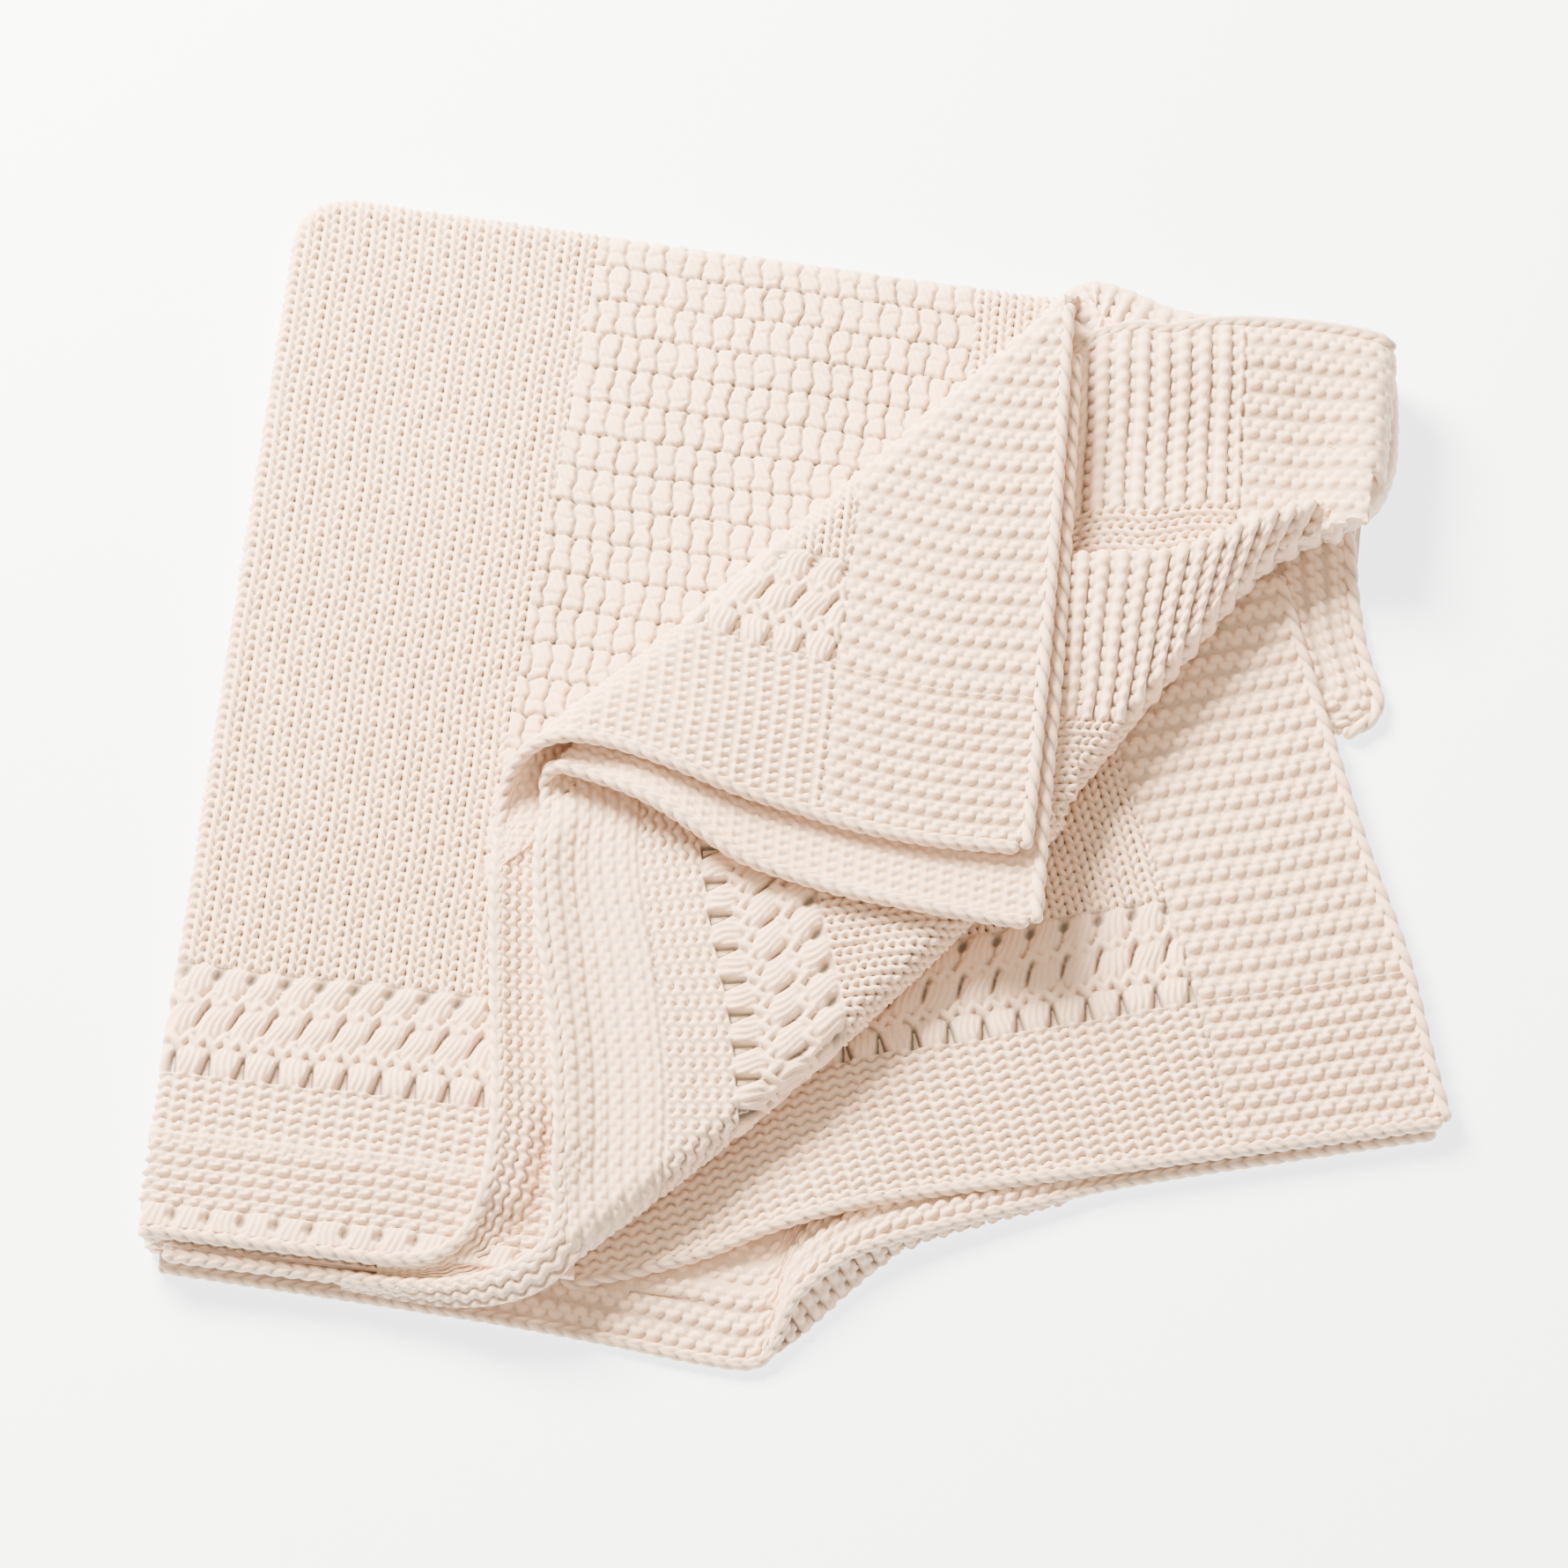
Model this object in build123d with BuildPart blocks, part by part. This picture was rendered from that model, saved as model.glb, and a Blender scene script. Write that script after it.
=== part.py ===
"""Folded throw blanket: a chunky knitted cotton throw, folded in quarters, with its free corner
turned over along a long diagonal fold and turned back again along a crease.

Frame: millimetres, +Z up, X along the top fold, Y from the hem to the top fold.
Origin: centre of the bounding box, on the surface that the throw lies on.
"""

import math
import os

from build123d import *

# ---------------------------------------------------------------- driving dimensions
HALF_X = 312.0  # half the folded throw's length along X
HALF_Y = 294.0  # half the folded throw's length along Y
EDGING = 7.0  # width of the knitted edging round the cloth
FOLDED_CLOTH = 6.2  # thickness of one leaf in the folded stack
TURNED_CLOTH = 6.85  # thickness of one leaf of the turned-over corner
FLAP_CLOTH = 6.25  # thickness of one leaf of the turned-back flap
LEAF_GAP = 0.3  # air between two leaves
HINGE_GAP = 0.6  # air under the turned-back flap

# undersides of the eight leaves, from the bottom up
BOTTOM_Z = 0.0
CORNER_Z = BOTTOM_Z + FOLDED_CLOTH + LEAF_GAP
SECOND_Z = CORNER_Z + FOLDED_CLOTH + LEAF_GAP
TOP_Z = SECOND_Z + FOLDED_CLOTH + LEAF_GAP
OUTER_TURN_Z = TOP_Z + FOLDED_CLOTH + LEAF_GAP
INNER_TURN_Z = OUTER_TURN_Z + TURNED_CLOTH + LEAF_GAP
INNER_FLAP_Z = INNER_TURN_Z + TURNED_CLOTH + HINGE_GAP
OUTER_FLAP_Z = INNER_FLAP_Z + FLAP_CLOTH + LEAF_GAP

# folds are half rounds, as high as the leaves that they join
TOP_FOLD_RADIUS = (TOP_Z + FOLDED_CLOTH - BOTTOM_Z) / 2
LEFT_FOLD_RADIUS = (CORNER_Z + FOLDED_CLOTH - BOTTOM_Z) / 2
DIAGONAL_RADIUS = (INNER_TURN_Z + TURNED_CLOTH - SECOND_Z) / 2

LEFT_X = -HALF_X + LEFT_FOLD_RADIUS  # the leaves meet the left folds here
FAR_Y = HALF_Y - TOP_FOLD_RADIUS  # the leaves meet the top fold here
NEAR_Y = -HALF_Y + EDGING  # the lowest point of the bottom leaf's hem
HEM_Y = -266.0  # the hem of the two upper leaves
FOLD_END_X = 82.0  # the top fold opens out here
POCKET_X = 240.0  # right end of the upper leaves
POCKET_FAR = (POCKET_X, 262.0)
POCKET_NEAR = (POCKET_X, 186.0)
POCKET_TOP = (160.0, 272.0)

# the long diagonal fold: the arc of its axis
DIAGONAL_START = (-118.0, HEM_Y)
DIAGONAL_MIDDLE = (64.0, -52.0)
DIAGONAL_END = (199.0, 178.0)

# the crease that the flap turns back on, a straight line
CREASE_START = (-140.0, -15.0)
CREASE_END = (82.0, 263.5)

# free edges of the cloth, each with the edging on the left of the way it runs
CORNER_POINT = (305.35, -128.0)
CORNER_HEM = [CORNER_POINT, (65.0, -210.0), (-92.0, -265.0)]
CORNER_SIDE = [(199.0, 139.0), (235.0, 75.0), CORNER_POINT]
BOTTOM_HEM = [(303.0, -131.0), (164.0, -172.0), (12.0, -224.0), (2.0, -278.0)]
BOTTOM_HEM += [(-16.0, NEAR_Y), (-150.0, -281.0), (LEFT_X, -277.0)]
TOP_HEM = [DIAGONAL_START, (LEFT_X, HEM_Y)]
OUTER_LEG = [(-136.0, -227.0), (-145.0, -142.0), (-156.0, -51.0), CREASE_START]
INNER_LEG = [(-103.0, -237.0), (-120.0, -164.0), (-134.0, -74.0), (-132.0, -33.0)]
TURNED_TOP = (96.0, 276.0)
TURNED_SIDE = [TURNED_TOP, POCKET_TOP, POCKET_FAR]
OUTER_FLAP_HEM = [(86.0, -26.0), (22.0, -19.0), (-44.0, -4.0), (-118.0, 1.0)]
OUTER_FLAP_SIDE = [(82.0, 255.0), (82.0, 118.0), (86.0, -26.0)]
INNER_FLAP_HEM = [(99.0, -60.0), (68.0, -60.0), (-18.0, -42.0), (-81.0, -17.0), (-112.0, -11.0)]
INNER_FLAP_SIDE = [(88.0, 250.0), (92.0, 99.0), (99.0, -60.0)]

os.makedirs("parts", exist_ok=True)


def offset_path(points, width):
    """The points moved by width to the left of the way that they run."""
    moved = []
    for i, (x, y) in enumerate(points):
        before = points[max(i - 1, 0)]
        after = points[min(i + 1, len(points) - 1)]
        run_x = after[0] - before[0]
        run_y = after[1] - before[1]
        length = math.hypot(run_x, run_y)
        moved.append((x - run_y / length * width, y + run_x / length * width))
    return moved


def make_leaf(name, outline, z, thickness, arc_middle=None):
    """One leaf of cloth: a slab whose outline closes with a line, or with an arc."""
    with BuildPart() as leaf:
        with BuildSketch(Plane.XY.offset(z)):
            with BuildLine():
                Polyline(*outline, close=arc_middle is None)
                if arc_middle is not None:
                    ThreePointArc(outline[-1], arc_middle, outline[0])
            make_face()
        extrude(amount=thickness)
    leaf.part.label = name
    export_step(leaf.part, f"parts/{name}.step")


def make_edging(name, path, z, thickness):
    """The knitted edging along a free edge: a flat strip beside its path."""
    with BuildPart() as strip:
        with BuildSketch(Plane.XY.offset(z)):
            with BuildLine():
                Polyline(*path, *reversed(offset_path(path, EDGING)), close=True)
            make_face()
        extrude(amount=thickness)
    strip.part.label = name
    export_step(strip.part, f"parts/{name}.step")


def make_straight_fold(name, centre, outward, along, length, radius):
    """A straight fold: a half round with its flat against the leaves that it joins."""
    with BuildPart() as fold:
        with BuildSketch(Plane(origin=centre, x_dir=outward, z_dir=along)):
            Circle(radius)
            Rectangle(radius, 2 * radius, align=(Align.MAX, Align.CENTER), mode=Mode.SUBTRACT)
        extrude(amount=length)
    fold.part.label = name
    export_step(fold.part, f"parts/{name}.step")


# ---------------------------------------------------------------- the four leaves of the stack
bottom_outline = [(LEFT_X, FAR_Y), (FOLD_END_X, FAR_Y), POCKET_FAR, POCKET_NEAR, (241.0, 78.0)]
make_leaf("bottom_leaf", bottom_outline + BOTTOM_HEM, BOTTOM_Z, FOLDED_CLOTH)
make_edging("bottom_leaf_hem", BOTTOM_HEM, BOTTOM_Z, FOLDED_CLOTH)

corner_outline = [(LEFT_X, FAR_Y), (FOLD_END_X, FAR_Y), (199.0, 262.0)]
corner_outline += CORNER_SIDE + CORNER_HEM[1:] + [(LEFT_X, -268.0)]
make_leaf("corner_leaf", corner_outline, CORNER_Z, FOLDED_CLOTH)
make_edging("corner_leaf_hem", CORNER_HEM, CORNER_Z, FOLDED_CLOTH)
make_edging("corner_leaf_selvedge", CORNER_SIDE, CORNER_Z, FOLDED_CLOTH)

upper_outline = [DIAGONAL_END, POCKET_NEAR, POCKET_FAR, POCKET_TOP, (FOLD_END_X, FAR_Y)]
upper_outline += [(LEFT_X, FAR_Y), (LEFT_X, HEM_Y), DIAGONAL_START]
for leaf_name, leaf_z in (("second_leaf", SECOND_Z), ("top_leaf", TOP_Z)):
    make_leaf(leaf_name, upper_outline, leaf_z, FOLDED_CLOTH, DIAGONAL_MIDDLE)
    make_edging(f"{leaf_name}_hem", TOP_HEM, leaf_z, FOLDED_CLOTH)

# ---------------------------------------------------------------- the folds that join the leaves
make_straight_fold(
    "top_fold",
    centre=(LEFT_X, FAR_Y, BOTTOM_Z + TOP_FOLD_RADIUS),
    outward=(0, 1, 0),
    along=(1, 0, 0),
    length=FOLD_END_X - LEFT_X,
    radius=TOP_FOLD_RADIUS,
)
for fold_name, fold_z in (("lower_left_fold", BOTTOM_Z), ("upper_left_fold", SECOND_Z)):
    make_straight_fold(
        fold_name,
        centre=(LEFT_X, HEM_Y, fold_z + LEFT_FOLD_RADIUS),
        outward=(-1, 0, 0),
        along=(0, 1, 0),
        length=FAR_Y - HEM_Y,
        radius=LEFT_FOLD_RADIUS,
    )

# the long diagonal fold: the same half round, swept along its arc
with BuildPart() as diagonal_fold:
    with BuildLine(Plane.XY.offset(SECOND_Z + DIAGONAL_RADIUS)) as axis_line:
        ThreePointArc(DIAGONAL_START, DIAGONAL_MIDDLE, DIAGONAL_END)
    fold_way = axis_line.line % 0
    with BuildSketch(
        Plane(origin=axis_line.line @ 0, x_dir=(fold_way.Y, -fold_way.X, 0), z_dir=fold_way)
    ):
        Circle(DIAGONAL_RADIUS)
        Rectangle(
            DIAGONAL_RADIUS,
            2 * DIAGONAL_RADIUS,
            align=(Align.MAX, Align.CENTER),
            mode=Mode.SUBTRACT,
        )
    sweep(path=axis_line.line)
diagonal_fold.part.label = "diagonal_fold"
export_step(diagonal_fold.part, "parts/diagonal_fold.step")

# ---------------------------------------------------------------- the turned-over corner
turned_outline = [DIAGONAL_END, POCKET_NEAR, POCKET_FAR, POCKET_TOP, TURNED_TOP]
turned_outline += [CREASE_END, CREASE_START]
turned_leaves = (
    ("outer_turned_leaf", OUTER_TURN_Z, OUTER_LEG),
    ("inner_turned_leaf", INNER_TURN_Z, INNER_LEG),
)
for leaf_name, leaf_z, leg in turned_leaves:
    hem_down = [point for point in reversed(leg) if point != CREASE_START]
    make_leaf(
        leaf_name,
        turned_outline + hem_down + [DIAGONAL_START],
        leaf_z,
        TURNED_CLOTH,
        DIAGONAL_MIDDLE,
    )
    make_edging(f"{leaf_name}_hem", leg, leaf_z, TURNED_CLOTH)
    make_edging(f"{leaf_name}_selvedge", TURNED_SIDE, leaf_z, TURNED_CLOTH)

# ---------------------------------------------------------------- the turned-back flap, which lifts
flap_leaves = (
    ("inner_flap", INNER_FLAP_Z, INNER_FLAP_HEM, INNER_FLAP_SIDE),
    ("outer_flap", OUTER_FLAP_Z, OUTER_FLAP_HEM, OUTER_FLAP_SIDE),
)
for leaf_name, leaf_z, hem, side in flap_leaves:
    flap_outline = [CREASE_START, CREASE_END] + side + hem[1:]
    make_leaf(leaf_name, flap_outline, leaf_z, FLAP_CLOTH)
    make_edging(f"{leaf_name}_hem", hem, leaf_z, FLAP_CLOTH)
    make_edging(f"{leaf_name}_selvedge", side, leaf_z, FLAP_CLOTH)
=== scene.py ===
"""Folded throw blanket in chunky cotton knit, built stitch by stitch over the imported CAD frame."""

import bpy
import numpy as np
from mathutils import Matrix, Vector


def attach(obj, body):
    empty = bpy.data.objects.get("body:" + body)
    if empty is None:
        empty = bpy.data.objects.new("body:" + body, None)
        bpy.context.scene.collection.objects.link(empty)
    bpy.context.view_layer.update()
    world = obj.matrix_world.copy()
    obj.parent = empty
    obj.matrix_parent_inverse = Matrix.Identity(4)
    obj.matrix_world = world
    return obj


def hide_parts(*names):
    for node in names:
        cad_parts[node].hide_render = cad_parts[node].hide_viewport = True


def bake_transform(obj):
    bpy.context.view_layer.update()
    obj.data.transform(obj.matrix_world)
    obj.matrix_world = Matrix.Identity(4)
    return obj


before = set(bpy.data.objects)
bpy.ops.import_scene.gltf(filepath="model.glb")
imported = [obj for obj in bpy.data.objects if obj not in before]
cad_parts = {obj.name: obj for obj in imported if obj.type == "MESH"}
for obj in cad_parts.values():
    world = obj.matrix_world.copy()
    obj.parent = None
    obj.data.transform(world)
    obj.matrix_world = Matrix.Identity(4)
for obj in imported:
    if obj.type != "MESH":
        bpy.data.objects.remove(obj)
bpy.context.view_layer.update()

# ------------ sizes, in millimetres
MM = 0.001
WALE = 8.2  # width of one column of stitches
COURSE = 5.4  # height of one row of stitches
EYELET_PITCH = 16.8  # from one eyelet to the next
HALF_CLOTH = 1.7  # from the middle of the cloth to the bottom of its stitches
EDGE_RADIUS = 3.4  # the edging cords
EDGE_OUT = -2.0  # the middle of an edging cord, just outside its cloth
STEP = 0.85  # mesh step
BLOCK = 4  # mesh steps to one quad of a sheet's back
LINK = 8.0  # one link of the edging's chain
CORD_STEP = 0.9
CORD_SIDES = 20

# heights of the middle of each leaf, from the bottom up
BOTTOM_MID = 3.3
CORNER_MID = 9.8
SECOND_MID = 16.2
TOP_MID = 22.6
OUTER_TURN_MID = 28.8
INNER_TURN_MID = 35.8
INNER_FLAP_MID = 45.0
OUTER_FLAP_MID = 51.8

# borders of the knitted pattern, measured from the hem and from the side edge
HEM_ROW_TOP = 12.0
GARTER_TOP = 46.0
PURL_TOP = 78.0
EYELET_TOP = 135.0
SIDE_BORDER = 100.0
RIB_PITCH = 10.1
BORDER_RIDGES = 12.6  # garter in the pocket and on its lip

# plan of the folded throw
LEFT_X, FAR_Y, HEM_Y = -305.6, 281.1, -266.0
CREASE_START = np.array([-140.0, -15.0])
CREASE_END = np.array([82.0, 263.5])
CREASE_WAY = (CREASE_END - CREASE_START) / np.linalg.norm(CREASE_END - CREASE_START)
CREASE_OUT = np.array([-CREASE_WAY[1], CREASE_WAY[0]])
DIAGONAL = np.array([[-118.0, -266.0], [64.0, -52.0], [199.0, 178.0]])


# ------------ curves
def dense_path(points, per_span=40):
    """A smooth curve through the points, and the distance along it."""
    pts = np.asarray(points, float)
    ext = np.vstack([2 * pts[0] - pts[1], pts, 2 * pts[-1] - pts[-2]])
    t = np.linspace(0, 1, per_span, endpoint=False)[:, None]
    spans = []
    for i in range(1, len(ext) - 2):
        a, b, c, d = ext[i - 1], ext[i], ext[i + 1], ext[i + 2]
        spans.append(
            0.5 * (2 * b + (c - a) * t + (2 * a - 5 * b + 4 * c - d) * t**2
                   + (3 * b - a - 3 * c + d) * t**3)
        )
    line = np.vstack(spans + [pts[-1:]])
    run = np.r_[0, np.cumsum(np.linalg.norm(np.diff(line, axis=0), axis=1))]
    return run, line


def along(path, s):
    """Points at the distances s along a dense path."""
    run, line = path
    return np.stack([np.interp(s, run, line[:, k]) for k in range(line.shape[1])], axis=-1)


def length_of(path):
    """The whole distance along a dense path."""
    return path[0][-1]


def height_at(points):
    """A smooth function y(x) through the points."""
    _, line = dense_path(sorted(points))
    return lambda x: np.interp(x, line[:, 0], line[:, 1])


def smooth(low, high, x):
    """An even step from 0 at low to 1 at high."""
    t = np.clip((x - low) / (high - low), 0, 1)
    return t * t * (3 - 2 * t)


def bell(offset, width):
    """1 where offset is 0, falling away on both sides."""
    return np.exp(-((offset / width) ** 2))


def circle_through(a, b, c):
    """Centre and radius of the circle through three plan points."""
    m = 2 * np.array([b - a, c - a])
    centre = np.linalg.solve(m, np.array([b @ b - a @ a, c @ c - a @ a]))
    return centre, np.linalg.norm(a - centre)


# ------------ stitches
def hash01(i, j):
    """A repeatable value from 0 to 1 for each stitch."""
    value = np.sin(i * 12.9898 + j * 78.233) * 43758.5453
    return value - np.floor(value)


def loosen(u, v):
    """Hand-made unevenness: the stitches drift slightly."""
    du = 0.5 * np.sin(v / 23.0 + 1.3) + 0.3 * np.sin(v / 9.7 + u / 41.0)
    dv = 0.6 * np.sin(u / 27.0 + 0.4) + 0.35 * np.sin(u / 11.3 + v / 37.0)
    return u + du, v + dv


def lump(x, y, half_x, half_y, lean=0.0):
    """A rounded lump of yarn, 1 at its middle and 0 at its rim; lean moves its top sideways."""
    across = (x - lean * y) / half_x
    return np.sqrt(np.clip(1 - across**2 - (y / half_y) ** 2, 0, 1))


def stockinette(u, v):
    """Columns of V stitches."""
    col = np.floor(u / WALE)
    side = np.abs(u - (col + 0.5) * WALE)
    row = np.floor(v / COURSE)
    best = np.zeros_like(u)
    for step in (-1, 0, 1):
        size = 0.88 + 0.2 * hash01(col, row + step)
        y = v - (row + step + 0.5) * COURSE
        leg = lump(side - 0.25 * WALE, y, 0.26 * WALE, 0.84 * COURSE, 0.46)
        best = np.maximum(best, leg * size)
    groove = bell(WALE / 2 - side, 0.6) + 0.7 * bell(side, 0.6)
    return -2.7 + 4.1 * best - 1.1 * groove


def arcs(u, v, wide, tall, rise):
    """Rows of arched loops, each row half a loop beside the next, from 0 to 1."""
    row = np.floor(v / tall)
    best = np.zeros_like(u)
    for step in (-2, -1, 0, 1, 2):
        j = row + step
        odd = np.mod(j, 2)
        cell = np.floor(u / wide + 0.5 * odd)
        x = (u / wide + 0.5 * odd - cell - 0.5) * 2
        bend = rise * (0.45 - x**2)
        y = (v - (j + 0.5) * tall - bend) / (0.58 * tall)
        size = 0.88 + 0.2 * hash01(cell + 7, j)
        loop = np.sqrt(np.clip(1 - y**2, 0, 1)) * np.clip(1.03 - x**8, 0, 1) ** 0.5
        best = np.maximum(best, loop * size)
    return best


def purl(u, v):
    """The back of stockinette: wavy rows of yarn, with a pit under each crest."""
    phase = 2 * np.pi * u / WALE
    bend = 0.21 * COURSE * np.cos(phase)
    row = np.floor((v - bend) / COURSE)
    y = (v - bend) / COURSE - row - 0.5
    size = 0.92 + 0.14 * hash01(np.floor(u / WALE + 0.5), row)
    ridge = np.clip(1 - (y / 0.5) ** 2, 0, 1) ** 0.45 * (0.87 + 0.13 * np.cos(2 * phase))
    pit = bell((0.5 - np.abs(y)) * COURSE, 1.3) * (0.5 + 0.5 * np.cos(phase)) ** 3
    return -2.1 + 3.4 * ridge * size - 0.8 * pit


def garter(u, v, pitch):
    """Ridges of interlocking loops, with a groove between two ridges."""
    ridge = np.floor(v / pitch)
    y = v - (ridge + 0.5) * pitch
    best = np.zeros_like(u)
    for side in (-1, 1):
        shift = 0.25 + 0.25 * side
        cell = np.floor(u / WALE + shift)
        x = (u / WALE + shift - cell - 0.5) * 2
        bend = side * 0.12 * pitch * (0.4 - x**2)
        size = 0.9 + 0.18 * hash01(cell, ridge * 2 + side)
        loop = lump(x, y - side * 0.145 * pitch - bend, 1.03, 0.235 * pitch) ** 0.85 * size
        best = np.maximum(best, loop)
    round_off = np.clip(1.06 - (2 * y / pitch) ** 4 * 0.5, 0, 1)
    low = arcs(u + WALE / 4, v, WALE / 2, pitch / 4, 0.3) * 0.34
    return -1.75 + 3.25 * np.maximum(best * round_off, low)


def rib(u, v, pitch):
    """Garter seen along its ridges: smooth cords with small beads along one side."""
    ridge = np.floor(v / pitch)
    y = v - (ridge + 0.5) * pitch
    cordlike = lump(0 * u, y - 0.12 * pitch, 1.0, 0.36 * pitch)
    spacing = 7.7
    wobble = 1 + 0.14 * np.sin(2 * np.pi * u / spacing + 3 * ridge)
    x = np.mod(u / spacing + 0.5 * hash01(ridge, 1.0), 1) - 0.5
    bead = lump(x * spacing, y + 0.27 * pitch, 3.6, 0.27 * pitch, 0.5)
    return -2.2 + 3.7 * np.maximum(cordlike * wobble, 0.78 * bead)


def blocks(u, v, skew):
    """Block stitch: courses of tall flat blocks with thin wavy seams, and pits between courses."""
    width, tall = 9.8, 19.2
    slide = 0.16 * skew * np.abs(np.mod(u / width, 1) - 0.5) * tall
    wave = 0.5 * np.sin(u / 3.1 + v / 60) + slide
    course = np.floor((v + wave) / tall)
    y = v + wave - course * tall
    x = u / width + 0.4 * hash01(course, 3.0)
    seam = np.floor(x + 0.5)
    x = x + 0.08 * np.sin(y / 2.6 + 6.3 * hash01(seam, course)) - 0.035 * np.cos(y / 1.2 + seam)
    gap = np.abs(x - np.floor(x + 0.5)) * width
    cell = np.floor(x)
    line = np.minimum(y, tall - y)
    joint = 0.85 * bell(gap, 0.85) * (0.8 + 0.4 * hash01(seam + 5, course))
    shelf = 0.72 * bell(line, 0.8)
    dots = 1.5 * np.exp(-((line**2 + gap**2) / 2.2))
    short_y = 4.0 + 9.0 * hash01(cell + 9, course) + 0.8 * np.sin(u / 1.9)
    short = 0.34 * bell(y - short_y, 0.8) * (gap > 1.2)
    crown = 0.35 * (1 - (gap / 5 - 1) ** 2) - 0.22 * np.abs(y - 11) / 9
    uneven = 0.8 * (hash01(cell + 2, course) - 0.5) + 0.22 * np.sin(u * 1.7 + v * 0.9)
    return 0.6 + crown + uneven - 2.7 * np.maximum.reduce([joint, shelf, dots, short])


def puff_row(u, v, middle, half, wide, lean, offset):
    """One row of puffs made of several strands; returns their height, and where they lie."""
    x = (u - lean * (v - middle)) / EYELET_PITCH + offset
    cell = np.floor(x)
    x = (x - cell - 0.5) * EYELET_PITCH
    y = v - middle
    size = 0.9 + 0.16 * hash01(cell, middle)
    body = np.clip(1 - np.abs(x / wide) ** 2.2 - np.abs(y / half) ** 2.4, 0, 1) ** 0.5 * size
    wander = 0.9 * np.sin(y / 3.4 + 5 * hash01(cell, middle + 1))
    strands = 0.5 + 0.5 * np.cos(2 * np.pi * (x * (1 + 0.02 * y) + wander) / 3.3)
    return body * (0.62 + 0.44 * strands**0.6), (np.abs(x) - EYELET_PITCH / 2), y


def chain_row(u, v, middle, half, lean):
    """A row of small slanting loops between two rows of puffs."""
    best = np.zeros_like(u)
    for side, shift in ((1, 0.0), (-1, 0.5)):
        x = np.mod(u / (EYELET_PITCH / 2) + shift, 1) - 0.5
        loop = lump(x * EYELET_PITCH / 2, v - middle - side * 0.7, 2.7, half, side * lean)
        best = np.maximum(best, loop)
    return best


def eyelets(u, v):
    """The openwork band: three rows of puffs with chains between them; v runs from 0 to 57."""
    low, low_gap, low_y = puff_row(u, v, 7.2, 8.4, 8.8, 0.08, 0.0)
    mid, mid_gap, mid_y = puff_row(u, v, 27.6, 9.6, 8.6, 0.45, 0.45)
    top, top_gap, top_y = puff_row(u, v, 48.0, 9.6, 8.2, 0.42, 0.1)
    chain = 0.95 * np.maximum(chain_row(u, v, 17.4, 6.4, 0.7), chain_row(u, v, 38.0, 6.4, 0.7))
    high = -1.4 + 3.3 * np.maximum.reduce([low, mid, top, chain])
    drop = np.clip((low_y + 6.5) / 12.0, 0, 1)
    tear = np.exp(-((low_gap / (3.3 - 2.6 * drop)) ** 4)) * smooth(-8.2, -6.6, low_y)
    tear = tear * smooth(6, 2, low_y)
    slit = np.exp(-((mid_gap / 1.1) ** 2) - ((mid_y - 3) / 6.0) ** 4)
    pit = bell(top_gap**2 + (top_y - 3.6) ** 2, 9.0)
    return high - (high + 3.5) * np.maximum.reduce([tear, 0.75 * slit, 0.72 * pit])


def hem_row(u, v):
    """The row of strand puffs and shallow pits over the hem."""
    body, gap, y = puff_row(u, v, 5.2, 9.0, 9.4, 0.3, 0.3)
    pit = bell(gap**2 + (y - 1.6) ** 2, 9.5)
    return -0.9 + 2.6 * body - 2.4 * pit


def end_border(u, v, ridges):
    """The pattern from the hem up to the stockinette: v is the distance from the hem."""
    if ridges:
        band = garter(u, v - 12.0, 6.6)
        band = np.where(v < HEM_ROW_TOP, hem_row(u, v), band)
        plain = purl(u, v)
        meeting = np.where(np.abs(v - GARTER_TOP) < 3.0, np.maximum(plain, band), band)
        h = np.where(v > GARTER_TOP + 3.0, plain, meeting)
    else:
        h = purl(u, v)
    h = np.where(v > PURL_TOP, eyelets(u if ridges else -u, v - PURL_TOP), h)
    return np.where(v > EYELET_TOP, stockinette(u, v), h)


def cloth_corner(u, v):
    """The corner of the throw: side border, end border and stockinette field."""
    u, v = loosen(u, v)
    side = np.where(v < PURL_TOP, garter(u, v, 9.4), garter(u, v - PURL_TOP, 12.4))
    h = np.where(u < SIDE_BORDER, side, end_border(u, v, False))
    return h - 0.8 * bell(u - SIDE_BORDER, 1.1)


# ------------ meshes
def make_mesh(name, verts, loops, starts, relief, smooth_faces):
    """A mesh object from flat arrays, with the relief kept as a "depth" value, from which the
    material paints shade into the hollows.
    """
    used = np.unique(loops)
    remap = np.zeros(len(verts), int)
    remap[used] = np.arange(len(used))
    verts, relief, loops = verts[used], relief[used], remap[loops]
    mesh = bpy.data.meshes.new(name)
    mesh.vertices.add(len(verts))
    mesh.vertices.foreach_set("co", (verts * MM).astype(np.float32).ravel())
    mesh.loops.add(len(loops))
    mesh.loops.foreach_set("vertex_index", loops.astype(np.int32))
    mesh.polygons.add(len(starts))
    mesh.polygons.foreach_set("loop_start", starts.astype(np.int32))
    mesh.update(calc_edges=True)
    flags = np.arange(len(starts)) < smooth_faces
    mesh.polygons.foreach_set("use_smooth", flags)
    # the relief's height, which the material turns into painted shade in the hollows
    depth = mesh.attributes.new("depth", "FLOAT", "POINT")
    depth.data.foreach_set("value", relief.astype(np.float32))
    obj = bpy.data.objects.new(name, mesh)
    bpy.context.scene.collection.objects.link(obj)
    return obj


def grid_steps(low, high, step, block):
    """Evenly spaced values from low to high, a whole number of blocks of steps."""
    count = max(1, int(round(abs(high - low) / (step * block)))) * block
    return np.linspace(low, high, count + 1)


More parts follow.
